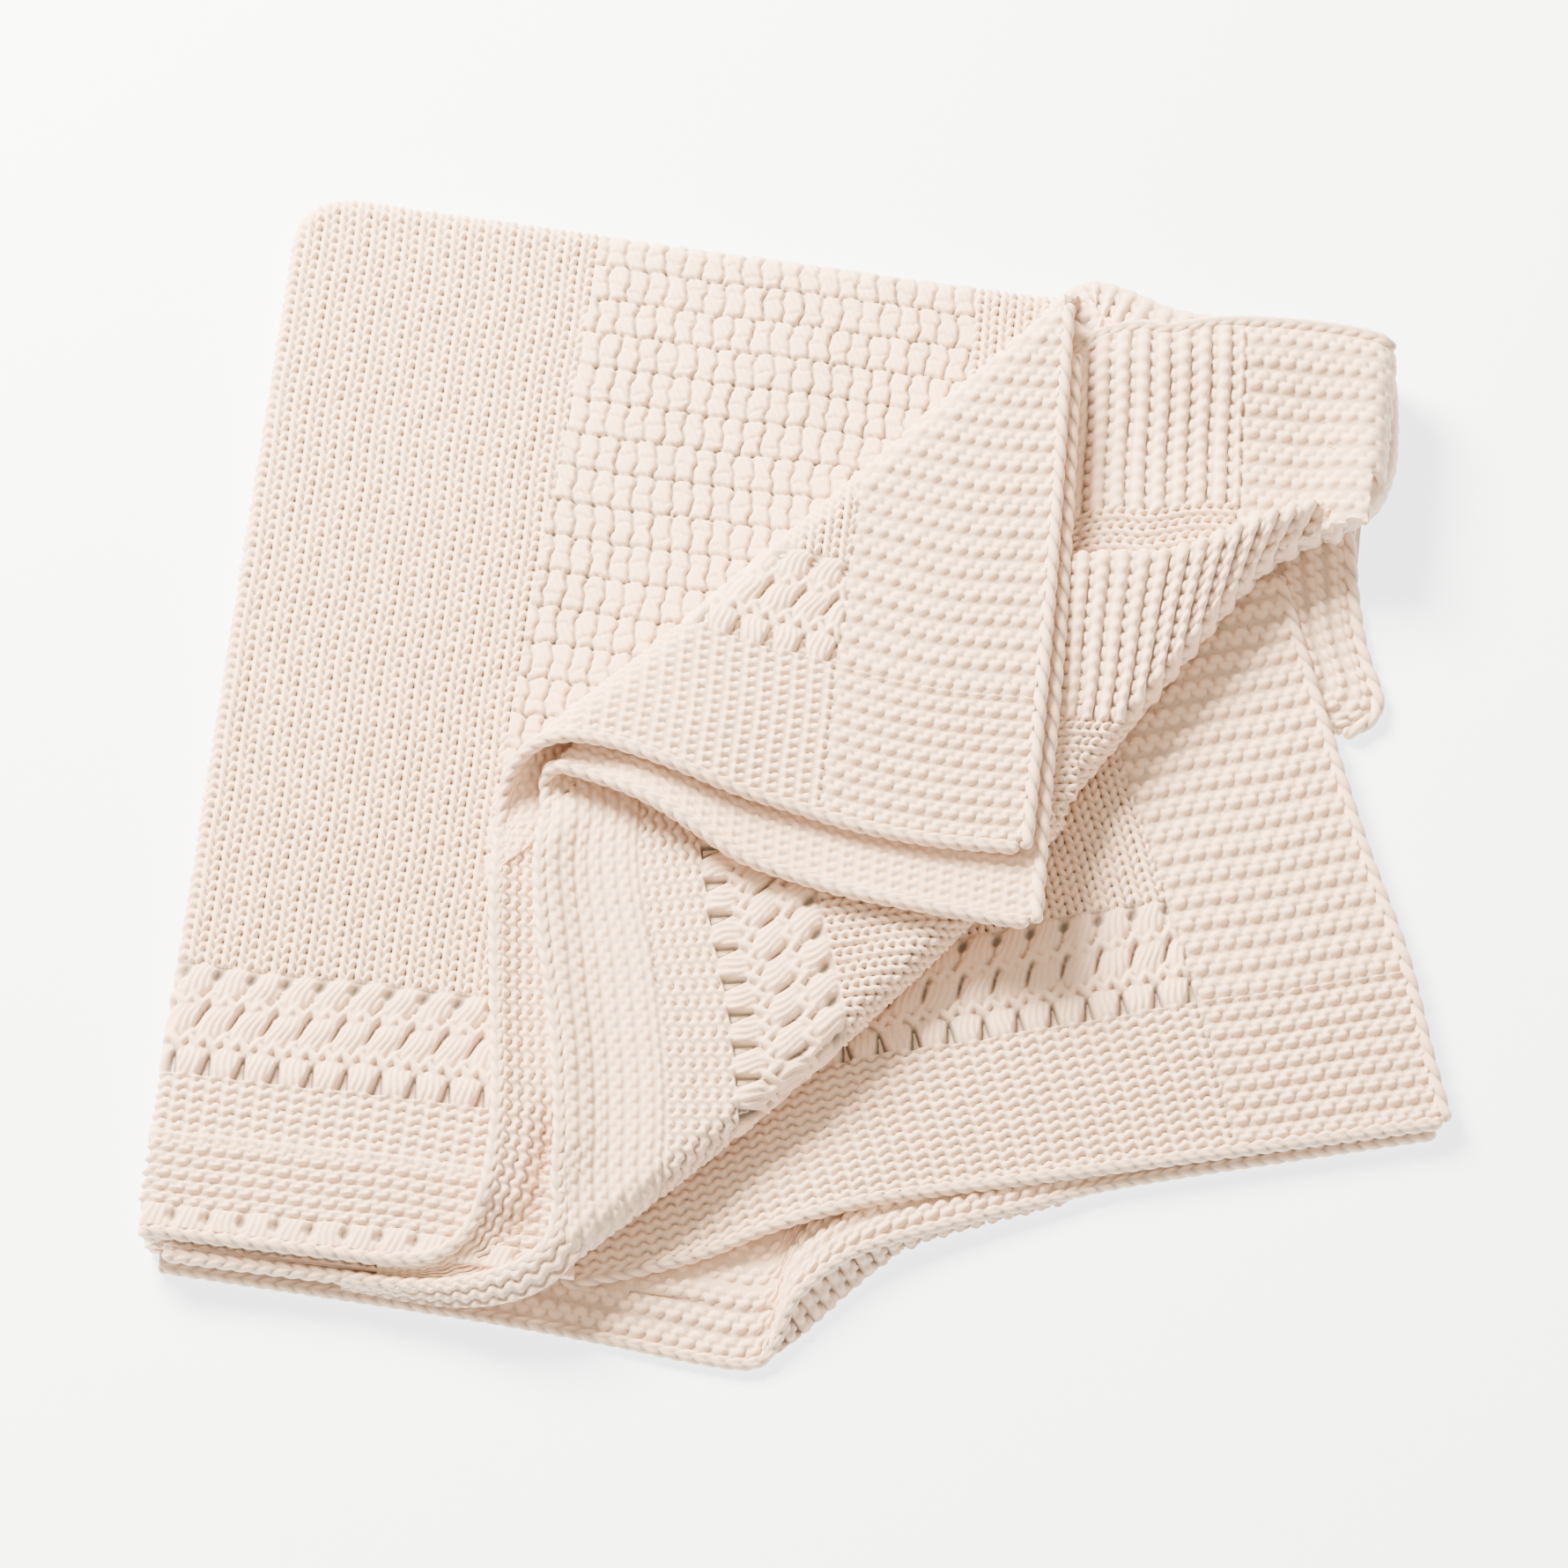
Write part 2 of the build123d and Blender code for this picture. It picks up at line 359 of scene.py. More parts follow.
def knit_sheet(name, us, vs, place, relief, block=BLOCK, keep=None, flip=False, back=None):
    """A closed sheet of knit: stitches on its face, and a plainer back joined round its edges.

    place gives the middle of the cloth, relief the height of the stitches over it, and keep
    which blocks of the grid exist. The back has one quad to a block. Returns the object and the
    area of its grid.
    """
    u, v = np.meshgrid(us, vs, indexing="ij")
    middle = place(u, v)
    normal = np.cross(np.gradient(middle, axis=0), np.gradient(middle, axis=1))
    normal /= np.maximum(np.linalg.norm(normal, axis=-1, keepdims=True), 1e-9)
    if flip:
        normal = -normal
    high = relief(u, v)
    face = middle + normal * (HALF_CLOTH + high)[..., None]
    low = back(u, v) if back is not None else np.zeros_like(high)
    rear = (middle - normal * (HALF_CLOTH + low)[..., None])[::block, ::block]
    nu, nv = u.shape
    bu, bv = rear.shape[:2]
    cu, cv = u[::block, ::block], v[::block, ::block]
    centre_u = (cu[:-1, :-1] + cu[1:, 1:]) / 2
    centre_v = (cv[:-1, :-1] + cv[1:, 1:]) / 2
    kept = np.ones((bu - 1, bv - 1), bool) if keep is None else keep(centre_u, centre_v)
    fine = np.repeat(np.repeat(kept, block, 0), block, 1)
    ids = np.arange(nu * nv).reshape(nu, nv)
    rear_ids = nu * nv + np.arange(bu * bv).reshape(bu, bv)
    front_quads = np.stack([ids[:-1, :-1], ids[1:, :-1], ids[1:, 1:], ids[:-1, 1:]], -1)[fine]
    back_quads = np.stack(
        [rear_ids[:-1, :-1], rear_ids[:-1, 1:], rear_ids[1:, 1:], rear_ids[1:, :-1]], -1
    )[kept]
    padded = np.pad(kept, 1)
    walls = []
    span = np.arange(block + 1)
    for side, (di, dj) in enumerate(((-1, 0), (1, 0), (0, -1), (0, 1))):
        edge = kept & ~padded[1 + di: bu + di, 1 + dj: bv + dj]
        i, j = np.nonzero(edge)
        if side < 2:
            row = (i + (side == 1)) * block
            line = ids[row[:, None], j[:, None] * block + span]
            ends = (rear_ids[i + (side == 1), j], rear_ids[i + (side == 1), j + 1])
        else:
            col = (j + (side == 3)) * block
            line = ids[i[:, None] * block + span, col[:, None]]
            ends = (rear_ids[i, j + (side == 3)], rear_ids[i + 1, j + (side == 3)])
        wall = np.concatenate([line, ends[1][:, None], ends[0][:, None]], 1)
        if side in (1, 2):
            wall = wall[:, ::-1]
        walls.append(wall)
    walls = np.concatenate(walls)
    if flip:
        front_quads, back_quads, walls = front_quads[:, ::-1], back_quads[:, ::-1], walls[:, ::-1]
    loops = np.concatenate([front_quads.ravel(), back_quads.ravel(), walls.ravel()])
    quads = len(front_quads) + len(back_quads)
    starts = np.r_[np.arange(quads) * 4, quads * 4 + np.arange(len(walls)) * (block + 3)]
    # depth for the painted shade: the stitches' height on the face, and a value near the lit end on
    # the back
    depth = np.concatenate([high.ravel(), np.full(bu * bv, 0.4)])
    verts = np.concatenate([face.reshape(-1, 3), rear.reshape(-1, 3)])
    obj = make_mesh(name, verts, loops, starts, depth, quads)
    step = abs((us[-1] - us[0]) * (vs[-1] - vs[0])) / ((nu - 1) * (nv - 1))
    return obj, float(fine.sum() * step)


def carried_frames(line):
    """Side and up directions along a line, turning no more than they must."""
    tangent = np.gradient(line, axis=0)
    tangent /= np.maximum(np.linalg.norm(tangent, axis=1, keepdims=True), 1e-9)
    up = np.tile(np.array([0.0, 0.0, 1.0]), (len(line), 1))
    for i in range(len(line)):
        guess = up[max(i - 1, 0)] - tangent[i] * (up[max(i - 1, 0)] @ tangent[i])
        up[i] = guess / max(np.linalg.norm(guess), 1e-9)
    return np.cross(tangent, up), up


def cord(name, points, radius=EDGE_RADIUS, chain=True):
    """The knitted edging: a chain of V links, or a two-strand twist, with rounded ends."""
    path = dense_path(points, 12)
    length = length_of(path)
    s = np.linspace(0, length, max(8, int(length / CORD_STEP)))
    line = along(path, s)
    side, up = carried_frames(line)
    angle = np.linspace(0, 2 * np.pi, CORD_SIDES, endpoint=False)
    s2, a2 = np.meshgrid(s, angle, indexing="ij")
    if chain:
        from_top = np.abs(np.mod(a2, 2 * np.pi) - np.pi / 2)
        from_top = np.minimum(from_top, 2 * np.pi - from_top)
        strand = np.abs(np.sin(np.pi * (s2 / LINK + 0.42 * from_top))) ** 0.55
        strand = strand * (0.55 + 0.45 * np.clip(from_top / 0.5, 0, 1))
    else:
        strand = np.abs(np.cos(a2 - np.pi * s2 / (LINK * 1.5))) ** 0.6
    r = radius * (0.62 + 0.46 * strand)
    end = np.minimum(s2, length - s2)
    r = r * np.sqrt(np.clip(1 - (1 - np.clip(end / radius, 0, 1)) ** 2, 0.03, 1))
    ring = (np.cos(a2) * r)[..., None] * side[:, None, :]
    ring = ring + (np.sin(a2) * r)[..., None] * up[:, None, :]
    verts = line[:, None, :] + ring
    ids = np.arange(len(s) * CORD_SIDES).reshape(len(s), CORD_SIDES)
    nxt = np.roll(ids, -1, axis=1)
    quads = np.stack([ids[:-1], ids[1:], nxt[1:], nxt[:-1]], -1).reshape(-1, 4)
    loops = np.concatenate([quads.ravel(), ids[0], ids[-1][::-1]])
    starts = np.r_[np.arange(len(quads)) * 4, len(quads) * 4, len(quads) * 4 + CORD_SIDES]
    # depth for the painted shade: low between the cord's strands, high on them
    depth = (strand * 3.4 - 2.4).ravel()
    return make_mesh(name, verts.reshape(-1, 3), loops, starts, depth, len(quads))


# ------------ materials
def yarn_material(name, lit, shade, fibre_scale):
    """Matt cotton yarn: fine fibres, soft sheen, and painted shade in the hollows between the
    stitches, mixed from the lit colour and the shade colour by the relief's depth.
    """
    mat = bpy.data.materials.new(name)
    mat.use_nodes = True
    nodes, links = mat.node_tree.nodes, mat.node_tree.links
    shader = nodes["Principled BSDF"]
    shader.inputs["Roughness"].default_value = 0.95
    shader.inputs["Sheen Weight"].default_value = 0.25
    shader.inputs["Sheen Roughness"].default_value = 0.6
    shader.inputs["Specular IOR Level"].default_value = 0.15
    depth = nodes.new("ShaderNodeAttribute")
    depth.attribute_name = "depth"
    place = nodes.new("ShaderNodeTexCoord")
    patch = nodes.new("ShaderNodeTexNoise")
    patch.inputs["Scale"].default_value = 22.0
    patch.inputs["Detail"].default_value = 3.0
    links.new(place.outputs["Object"], patch.inputs["Vector"])
    # painted shade: the relief's depth picks a colour from the shade colour in the deepest hollows
    # to the lit colour on the crests
    lift = nodes.new("ShaderNodeMapRange")
    lift.inputs["From Min"].default_value = -2.7
    lift.inputs["From Max"].default_value = 0.7
    links.new(depth.outputs["Fac"], lift.inputs["Value"])
    ramp = nodes.new("ShaderNodeValToRGB")
    ramp.color_ramp.elements[0].color = shade
    ramp.color_ramp.elements[1].color = lit
    between = ramp.color_ramp.elements.new(0.5)
    between.color = tuple(0.42 * dark + 0.58 * light for dark, light in zip(shade, lit))
    links.new(lift.outputs["Result"], ramp.inputs["Fac"])
    tint = nodes.new("ShaderNodeHueSaturation")
    value = nodes.new("ShaderNodeMapRange")
    value.inputs["To Min"].default_value = 0.96
    value.inputs["To Max"].default_value = 1.04
    links.new(patch.outputs["Fac"], value.inputs["Value"])
    links.new(value.outputs["Result"], tint.inputs["Value"])
    links.new(ramp.outputs["Color"], tint.inputs["Color"])
    links.new(tint.outputs["Color"], shader.inputs["Base Color"])
    fibre = nodes.new("ShaderNodeTexNoise")
    fibre.inputs["Scale"].default_value = fibre_scale
    fibre.inputs["Detail"].default_value = 4.0
    fibre.inputs["Roughness"].default_value = 0.7
    links.new(place.outputs["Object"], fibre.inputs["Vector"])
    bump = nodes.new("ShaderNodeBump")
    bump.inputs["Strength"].default_value = 0.35
    bump.inputs["Distance"].default_value = 0.0008
    links.new(fibre.outputs["Fac"], bump.inputs["Height"])
    links.new(bump.outputs["Normal"], shader.inputs["Normal"])
    return mat


# each yarn's lit colour, then its painted shade colour for the hollows between the stitches
CLOTH = yarn_material("knitted_cotton", (0.905, 0.695, 0.545, 1), (0.205, 0.185, 0.16, 1), 900.0)
EDGING = yarn_material("edging_yarn", (0.915, 0.705, 0.555, 1), (0.23, 0.208, 0.18, 1), 1100.0)


# ------------ how the cloth lies
def ripple(x, y, size):
    """The slow unevenness of soft cloth on cloth."""
    return size * (0.8 * np.sin(x / 67 + y / 91 + 0.7) + 0.6 * np.sin(x / 39 - y / 53 + 2.1))


def crease_frame(x, y):
    """Distance along the crease, and distance beyond it on the far side of the flap."""
    rel_x, rel_y = x - CREASE_START[0], y - CREASE_START[1]
    s = rel_x * CREASE_WAY[0] + rel_y * CREASE_WAY[1]
    d = rel_x * CREASE_OUT[0] + rel_y * CREASE_OUT[1]
    return s, d


DIAGONAL_CENTRE, DIAGONAL_REACH = circle_through(*DIAGONAL)
DIAGONAL_ROLL = (INNER_TURN_MID - SECOND_MID) / 2


def past_diagonal(x, y):
    """Distance beyond the axis of the long diagonal fold."""
    return np.hypot(x - DIAGONAL_CENTRE[0], y - DIAGONAL_CENTRE[1]) - DIAGONAL_REACH


def skew(x, y):
    """The stack isn't quite square: its left edge leans, and its far edge rises leftwards."""
    left = np.clip((100 - x) / 405, 0, 1.05)
    far = np.clip(y / 281, 0, 1.05)
    nook = 3.0 * smooth(-256, -272, y) * left
    return x + nook - 0.035 * (y + 4) * left, y + (1.7 + 0.029 * np.maximum(80 - x, 0)) * far


CORNER_ROUND = 20.0  # plan radius of the far left corner, inside its roll
LEFT_ROLL = 3.3  # radius of the top leaf's roll over the left fold
TOP_ROLL = 9.5  # and over the top fold


def top_roll(x, y):
    """How far past the left and top folds a point of the top leaf is, which way, and how tight."""
    near = LEFT_X + CORNER_ROUND - x
    far = y - (FAR_Y - CORNER_ROUND)
    corner = (near > 0) & (far > 0)
    reach = np.where(corner, np.hypot(near, far), np.maximum(near, far)) - CORNER_ROUND
    straight = np.where(far > near, 1.5708, 0)
    turn = np.where(corner, np.arctan2(far, np.maximum(near, 1e-9)), straight)
    radius = LEFT_ROLL + (TOP_ROLL - LEFT_ROLL) * (turn / (np.pi / 2)) ** 1.5
    return np.maximum(reach, 0), turn, radius


def place_top(x, y):
    """The top leaf: flat, rolled over the left fold and over the top fold."""
    reach, turn, radius = top_roll(x, y)
    bend = np.clip(reach / radius, 0, np.pi)
    beyond = np.maximum(reach - np.pi * radius, 0)
    back = reach - radius * np.sin(bend) + beyond
    px = x + back * np.cos(turn)
    py = y - back * np.sin(turn)
    px, py = skew(px, py)
    level = TOP_MID + ripple(x, y, 0.7) * smooth(0, 60, x - LEFT_X) * smooth(0, 60, FAR_Y - y)
    return np.stack([px, py, level - radius * (1 - np.cos(bend))], -1)


def turn_back(x, y, flap_z, base_z, rise, inset=0.0):
    """A leaf that lies on the flap's side of the crease and rolls round it to lie underneath."""
    s, d = crease_frame(x, y)
    d = d + inset * bell(s + 15, 70)
    lift = rise * bell(s - 5, 70)
    radius = (flap_z + lift - base_z) / 2
    top = flap_z + lift * bell(np.minimum(d, 0), 90)
    bend = np.clip(d / radius, 0, np.pi)
    off = np.where(d < 0, d, radius * np.sin(bend) - np.maximum(d - np.pi * radius, 0))
    off = off - inset * bell(s + 15, 70)
    px = CREASE_START[0] + CREASE_WAY[0] * s + CREASE_OUT[0] * off
    py = CREASE_START[1] + CREASE_WAY[1] * s + CREASE_OUT[1] * off
    pz = np.where(d < 0, top, base_z + radius * (1 + np.cos(bend)))
    return px, py, pz, d - np.pi * radius


def roll_diagonal(px, py, pz, inset=0.0, roll=DIAGONAL_ROLL):
    """The leaf rolls round the long diagonal fold, inset from its axis, and goes on underneath."""
    rel = np.stack([px, py], -1) - DIAGONAL_CENTRE
    dist = np.linalg.norm(rel, axis=-1)
    reach = DIAGONAL_REACH - inset
    d = dist - reach
    bend = np.clip(d / roll, 0, np.pi)
    off = roll * np.sin(bend) - np.maximum(d - np.pi * roll, 0)
    new = DIAGONAL_CENTRE + rel * ((reach + np.where(d < 0, d, off)) / dist)[..., None]
    return new[..., 0], new[..., 1], pz - roll * (1 - np.cos(bend))


OUTER_INSET = 34.0  # the outer leaf's own diagonal fold lies inside the other's
OUTER_ROLL = (OUTER_TURN_MID + 2.0 - TOP_MID) / 2
OUTER_RISE = 6.0  # how much the crease stands open at the hem
INNER_RISE = 4.0
INNER_INSET = 7.0  # the inner leaf turns back this much earlier at the hem
OUTER_TIP = 93.0  # where each flap's hem meets its side edge, before the side's own bow
INNER_TIP = 107.0
OUTER_CURL = 5.0  # the hems of the two legs stand up
INNER_CURL = 7.5
OUTER_HEM = height_at(
    [(93, -30), (86, -30), (49, -31), (11, -28), (-18, -23), (-50, -18), (-82, -10), (-112, -3),
     (-135, -2), (-162, -7), (-196, -14), (-234, -21), (-283, -26), (-332, -29), (-364, -34),
     (-388, -40), (-430, -46)]
)
INNER_HEM = height_at(
    [(107, -65), (90, -65), (53, -63), (15, -60), (-10, -56), (-39, -50), (-63, -39), (-86, -28),
     (-112, -19), (-137, -14), (-165, -14), (-192, -19), (-231, -19), (-284, -15), (-335, -15),
     (-368, -18), (-440, -18), (-490, -16)]
)
OUTER_SIDE = height_at([(-40, 90), (46, 88), (132, 85), (250, 79), (300, 77)])
INNER_SIDE = height_at([(-70, 100), (0, 97), (99, 94), (258, 85), (330, 82)])


def on_flap(under):
    """1 on the flap itself, falling to 0 round the crease."""
    return smooth(-20, -50, under)


def arch(x, v, share):
    """Near the crease the flap's hem stands up a little, off what lies under it."""
    return 5.6 * bell(x + 78, 42) * bell(v, 40) * share


def round_diagonal(px, py, pz, under, *fold):
    """What lies under the flap also goes round the long diagonal fold."""
    folded = roll_diagonal(px, py, pz, *fold)
    return np.stack([np.where(under > 0, new, old) for new, old in zip(folded, (px, py, pz))], -1)


def place_outer(x, v):
    """The outer turned leaf: x runs along its hem, v up from the hem."""
    y = OUTER_HEM(x) + v
    side = np.interp(x, [-150, 92], [0, 1]) * (OUTER_SIDE(y) - 92)
    px, py, pz, under = turn_back(x + side, y, OUTER_FLAP_MID, OUTER_TURN_MID, OUTER_RISE)
    curl = OUTER_CURL * bell(v, 9.0) * smooth(0, 25, under)
    pz = pz + 2.0 * smooth(-120, -250, py) * (under > 0) + curl + arch(x, v, on_flap(under))
    return round_diagonal(px, py, pz, under, OUTER_INSET, OUTER_ROLL)


def place_inner(x, v):
    """The inner turned leaf: x runs along its hem, v up from the hem."""
    y = INNER_HEM(x) + v
    side = np.interp(x, [-150, 107], [0, 1]) * (INNER_SIDE(y) - 107)
    px, py, pz, under = turn_back(
        x + side, y, INNER_FLAP_MID, INNER_TURN_MID, INNER_RISE, INNER_INSET
    )
    curl = INNER_CURL * bell(v, 12.0) * smooth(0, 25, under)
    pz = pz + curl * smooth(-245, -200, py) + arch(x, v, on_flap(under))
    return round_diagonal(px, py, pz, under)


# the legs of the two hems: as the leaves place them, then round the diagonal fold to their feet
OUTER_LEG = dense_path(
    np.vstack([
        place_outer(np.linspace(-196, -380, 60), np.full(60, EDGE_OUT)),
        [(-142, -243, 31.0), (-149, -257, 29.0), (-163, -266, 26.0), (-186, -268, 23.0)],
    ]),
    6,
)
INNER_FOOT = dense_path(
    np.vstack([
        place_inner(np.linspace(-340, -374, 12), np.full(12, EDGE_OUT)),
        [(-105, -252, 35.0), (-114, -263, 32.0), (-130, -271, 27.0), (-150, -276, 22.0)],
        [(-175, -278, 18.0), (-202, -277.5, 16.2)],
    ]),
    6,
)
OUTER_LEG_WIDTH = 46.0
INNER_FOOT_WIDTH = 14.0


def place_strip(path, s, w, turn):
    """Cloth beside its hem: at its foot, turn long, it follows the hem round and narrows."""
    p = along(path, s)
    run = (along(path, s + 3) - along(path, s - 3))[..., :2]
    run = run / np.maximum(np.linalg.norm(run, axis=-1, keepdims=True), 1e-9)
    foot = smooth(length_of(path) - turn, length_of(path), s)
    reach = w * (1 - 0.9 * foot)
    sag = OUTER_CURL * (1 - bell(w, 9.0)) * smooth(0, 25, s) + 0.12 * w * foot
    x = p[..., 0] - run[..., 1] * reach
    y = p[..., 1] + run[..., 0] * reach
    return np.stack([x, y, p[..., 2] - sag], -1)


def place_leg(s, w):
    """The outer leg's cloth, with a hollow between the two legs."""
    spot = place_strip(OUTER_LEG, s, w, 88.0)
    hollow = bell(s - length_of(OUTER_LEG) + 84, 26)
    spot[..., 2] -= 12.0 * smooth(12, 30, w) * hollow
    return spot


def place_foot(s, w):
    """The inner leg's foot, which sinks at both its start and its inner edge."""
    spot = place_strip(INNER_FOOT, s, w, 95.0)
    spot[..., 2] += 1.0 - 4.0 * smooth(16, 0, s) - 2.0 * smooth(8, INNER_FOOT_WIDTH, w)
    return spot


CORNER_TIP = np.array([305.3, -128.0])
HEM_WAY = np.array([-0.9456, -0.3254])
SIDE_WAY = np.array([-0.3526, 0.9358])
CORNER_BOW = height_at([(-10, 0), (187, 11), (263, 15), (322, 12), (360, 6), (400, 4), (440, 6)])


def place_corner(u, v):
    """The corner leaf: u runs along its hem from the corner, v up from the hem."""
    bulge = 3.5 * bell(v - 85, 45) * bell(u, 150)
    rise = v + CORNER_BOW(u) * np.exp(-v / 120)
    px = CORNER_TIP[0] + HEM_WAY[0] * u + SIDE_WAY[0] * rise + bulge
    py = CORNER_TIP[1] + HEM_WAY[1] * u + SIDE_WAY[1] * rise + 0.3 * bulge
    tuck = -4.0 * smooth(404, 424, u) ** 2
    hump = 5.0 * bell(u - 300, 42) * bell(v, 34)
    return np.stack([px, py, CORNER_MID + ripple(px, py, 0.5) + hump + tuck], -1)


# the bottom leaf's hem: it turns up in a lobe under the corner leaf, then lies flat to the left
BOTTOM_HEM = dense_path(
    [(304, -131, 3.3), (168, -172, 4), (119, -191, 6), (69, -212, 9), (34, -230, 13),
     (13, -250, 14), (5, -263, 11), (1, -276, 6), (-4, -285, 3.6), (-15, -289, 3.3),
     (-44, -288, 3.3), (-80, -285, 3.3), (-150, -281, 3.3), (-303, -277, 3.3)]
)
LOBE_SIDE = dense_path(
    [(132, -189, 1.5), (120, -194, 1.5), (64, -219, 1.5), (39, -243, 1.5), (18, -269, 1.5),
     (3, -284, 1.5), (-2, -287, 1.5)]
)
LOBE_TOP = dense_path(
    [(132, -187, 5), (119, -192, 6), (69, -213, 8), (34, -231, 12), (13, -251, 13), (2, -274, 7),
     (-2, -284, 3)]
)
BOTTOM_WIDTH = 60.0
LOBE_WIDTH = 20.0


def place_bottom(s, v):
    """The bottom leaf's near strip: s runs along its hem from the corner, v inwards."""
    edge = along(BOTTOM_HEM, s)
    x, y = skew(edge[..., 0], edge[..., 1])
    back = bell(v, 26)
    return np.stack([x, y + v, BOTTOM_MID + (edge[..., 2] - BOTTOM_MID) * back], -1)


def place_lobe(s, w):
    """The outer side of the lobe: w runs up from the floor to its hem."""
    share = s / length_of(LOBE_TOP)
    low = along(LOBE_SIDE, share * length_of(LOBE_SIDE))
    high = along(LOBE_TOP, s)
    part = (w / LOBE_WIDTH)[..., None]
    return low * (1 - part) + high * part


# the pocket at the far right, where the turned leaves open out
POCKET_EDGE = height_at(
    [(80, 246), (89, 255), (97, 262), (106, 266), (120, 269), (133, 269), (157, 276), (179, 279),
     (209, 280), (236, 278), (262, 270)]
)
PLEAT_CREST = dense_path(
    [(50, 96), (76, 118), (100, 134), (148, 144), (189, 168), (214, 181), (236, 189)]
)
PLEAT_FOOT = dense_path(
    [(50, -78), (76, -42), (105, 3), (155, 88), (190, 146), (212, 165), (233, 181)]
)
PLEAT_BACK = 14.0  # how far the pleat's back face goes down
PLEAT_ROLL = 5.0  # radius of the pleat's crest
POCKET_TURN = 237.0  # the pocket floor rolls down from here
POCKET_ROLL = 11.0
POCKET_SEAM = 77.0  # the seam between the pocket's ribs and its garter


def place_pocket(x, b):
    """The pocket floor: x across, b down from its far edge; it rolls down at the right."""
    y = POCKET_EDGE(x) - b
    bend = np.clip((x - POCKET_TURN) / POCKET_ROLL, 0, 2.6)
    px = np.minimum(x, POCKET_TURN) + POCKET_ROLL * np.sin(bend)
    dip = smooth(0, 75, b) * smooth(246, 205, x)
    level = 42.0 - 11.0 * dip - 3.0 * bell(b, 10) - 4.0 * smooth(120, 84, x)
    return np.stack([px, y, level - POCKET_ROLL * (1 - np.cos(bend))], -1)


def pleat_span(a):
    """The pleat's crest at a, what share of the crest that is, and the way down to its foot."""
    share = a / length_of(PLEAT_CREST)
    crest = along(PLEAT_CREST, a)
    down = along(PLEAT_FOOT, share * length_of(PLEAT_FOOT)) - crest
    return crest, share, down, np.linalg.norm(down, axis=-1)


def place_pleat(a, b):
    """The pleat in front of the pocket: a along its crest, b from the foot of its back face, over
    its crest, and down to the diagonal fold."""
    crest, share, down, span = pleat_span(a)
    way = down / np.maximum(span, 1e-9)[..., None]
    roll = PLEAT_ROLL
    reach = DIAGONAL_ROLL
    over = b - PLEAT_BACK
    start = np.clip(over / roll, 0, np.pi / 2)
    flat = np.clip(over - roll * np.pi / 2, 0, None)
    length = np.maximum(span - roll - reach, 2.0)
    bend = np.clip((flat - length) / reach, 0, np.pi)
    after = np.clip(flat - length - np.pi * reach, 0, 12)
    out = roll * (1 - np.cos(start)) + np.minimum(flat, length) + reach * np.sin(bend) - after
    slope = np.minimum(flat, length) / length
    top = 44.0 - 3.0 * smooth(0.3, 0.0, share) - 4.0 * smooth(0.75, 1.0, share)
    top = top - 14.0 * smooth(0.88, 1.0, share)
    level = top * (1 - slope) + 34.5 * slope
    level = level - roll * (1 - np.sin(start)) + np.minimum(over, 0)
    z = level - reach * (1 - np.cos(bend))
    p = crest + way * out[..., None]
    return np.concatenate([p, z[..., None]], -1)


LIP = dense_path(
    [(66, 276), (73, 283), (80, 293), (90, 299), (101, 299), (113, 296), (134, 289), (158, 287),
     (180, 287), (203, 285), (228, 284), (240, 280), (247, 270), (251, 250), (253, 222), (252, 207),
     (248, 194), (240, 185), (231, 179), (223, 175)]
)
LIP_WIDTH = 56.0
LIP_WALL = 16.0  # how far the lip goes straight up
LIP_ROLL = 9.0  # radius of the turn at its top


def place_lip(s, w):
    """The rounded outer lip of the pocket: s along it, w up its side and then inwards."""
    p = along(LIP, s)
    run = along(LIP, s + 1) - along(LIP, s - 1)
    run = run / np.maximum(np.linalg.norm(run, axis=-1, keepdims=True), 1e-9)
    inward = np.stack([run[..., 1], -run[..., 0]], -1)
    bend = np.clip((w - LIP_WALL) / LIP_ROLL, 0, np.pi / 2)
    inner = np.maximum(w - LIP_WALL - LIP_ROLL * np.pi / 2, 0)
    inner = inner * (1 - 0.85 * smooth(length_of(LIP) - 55, length_of(LIP) - 30, s))
    depth = LIP_ROLL * (1 - np.cos(bend)) + inner + 4.0 * np.clip(1 - w / LIP_WALL, 0, 1) ** 2
    rise = np.minimum(w, LIP_WALL) + LIP_ROLL * np.sin(bend) + 2.0 * smooth(0, 12, inner)
    level = 8.0 + rise * (1 - 0.65 * smooth(length_of(LIP) - 20, length_of(LIP), s))
    return np.concatenate([p + inward * depth[..., None], level[..., None]], -1)


TAIL_EDGE = dense_path(
    [(232, 196), (233, 181), (237, 157), (242, 132), (247, 115), (255, 95), (253, 83), (240, 72)]
)
TAIL_WIDTH = 44.0


def place_tail(a, b):
    """The bottom leaves' own far edge, hanging out under the pocket."""
    outer = along(TAIL_EDGE, a)
    px = outer[..., 0] - b
    py = outer[..., 1] + 0.25 * b
    pz = 4.0 + 10.0 * smooth(50, 0, a) + 1.5 * smooth(0, 12, b)
    return np.stack([px, py, pz], -1)


def place_second(x, y):
    """The second leaf's rim, under the top leaf's hem."""
    px, py = skew(x, y)
    return np.stack([px, py, SECOND_MID + 0.6 * np.sin(x / 31)], -1)


FOLD_WIDTH = 40.0
FOLD_FLAT = 14.0  # how much of the lower left fold's sheet is flat, before it turns


def place_left_fold(w, y):
    """The lower left fold: w runs out over it and back underneath."""
    radius = (CORNER_MID - BOTTOM_MID) / 2
    bend = np.clip((w - FOLD_FLAT) / radius, 0, np.pi)
    beyond = np.maximum(w - FOLD_FLAT - np.pi * radius, 0)
    px = LEFT_X + 1.0 + FOLD_FLAT - np.minimum(w, FOLD_FLAT) - radius * np.sin(bend) + beyond
    px, py = skew(px, y)
    return np.stack([px, py, BOTTOM_MID + 0.2 + radius * (1 + np.cos(bend))], -1)


def place_underside(x, y):
    """The flat underside of the whole stack."""
    px, py = skew(x, y)
    return np.stack([px, py, np.full_like(x, BOTTOM_MID + 0.1)], -1)


